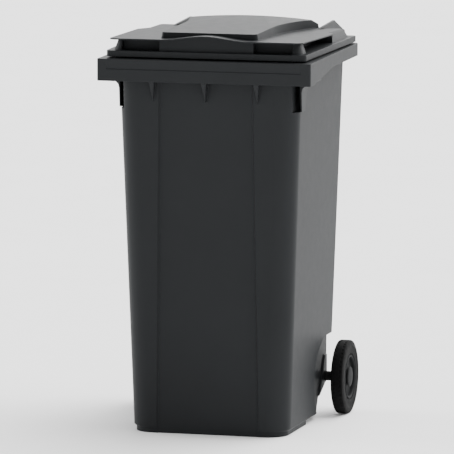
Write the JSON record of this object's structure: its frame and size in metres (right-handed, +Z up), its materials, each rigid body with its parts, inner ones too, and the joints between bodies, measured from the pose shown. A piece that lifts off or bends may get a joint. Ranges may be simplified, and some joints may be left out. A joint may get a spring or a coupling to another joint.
{
  "type": "two-wheeled wheelie bin",
  "caption": "Two-wheeled plastic refuse container of the 240 litre class with a hinged lid, a comb-lift rim, a rear handle bar and click-on wheels on a steel axle.",
  "frame": {"origin": "on the ground, in the middle of the overall width and depth", "axes": "+X to the right for someone who looks at the front, +Y from the front to the handle, +Z up"},
  "size_m": [0.58, 0.74, 1.075],
  "materials": {
    "container_plastic": "satin",
    "lid_plastic": "satin",
    "pin_plastic": "satin",
    "hub_plastic": "satin",
    "cap_plastic": "satin",
    "tyre_rubber": "matte",
    "buffer_rubber": "matte",
    "axle_steel": "zinc plated",
    "washer_steel": "zinc plated",
    "spring_steel": "satin"
  },
  "bodies": {
    "container": {"container_body": "container_plastic", "axle": "axle_steel", "left_axle_sleeve": "pin_plastic", "right_axle_sleeve": "pin_plastic", "left_thrust_washer": "washer_steel", "right_thrust_washer": "washer_steel", "left_hinge_pin": "pin_plastic", "right_hinge_pin": "pin_plastic"},
    "lid_body": {"lid": "lid_plastic", "lid_buffers": "buffer_rubber"},
    "left_wheel": {"left_tyre": "tyre_rubber", "left_wheel_hub": "hub_plastic", "left_hub_cap": "cap_plastic", "left_latch_spring": "spring_steel"},
    "right_wheel": {"right_tyre": "tyre_rubber", "right_wheel_hub": "hub_plastic", "right_hub_cap": "cap_plastic", "right_latch_spring": "spring_steel"},
    "left_latch": {"left_axle_latch": "pin_plastic"},
    "right_latch": {"right_axle_latch": "pin_plastic"}
  },
  "joints": [
    {"name": "lid_hinge", "type": "hinge", "parent": "container", "child": "lid_body", "pos_m": [0, 0.355, 1.007], "axis": [-1, 0, 0], "range_deg": [0, 270]},
    {"name": "left_wheel_spin", "type": "hinge", "parent": "container", "child": "left_wheel", "pos_m": [-0.271, 0.108, 0.1], "axis": [1, 0, 0], "continuous": true},
    {"name": "right_wheel_spin", "type": "hinge", "parent": "container", "child": "right_wheel", "pos_m": [0.271, 0.108, 0.1], "axis": [1, 0, 0], "continuous": true},
    {"name": "left_latch_slide", "type": "slide", "parent": "left_wheel", "child": "left_latch", "axis": [0, 0, 1], "range_m": [0, 0.004], "stiffness_N_per_m": 300, "springref_m": -0.003, "deforming": ["left_latch_spring"]},
    {"name": "right_latch_slide", "type": "slide", "parent": "right_wheel", "child": "right_latch", "axis": [0, 0, 1], "range_m": [0, 0.004], "stiffness_N_per_m": 300, "springref_m": -0.003, "deforming": ["right_latch_spring"]}
  ]
}
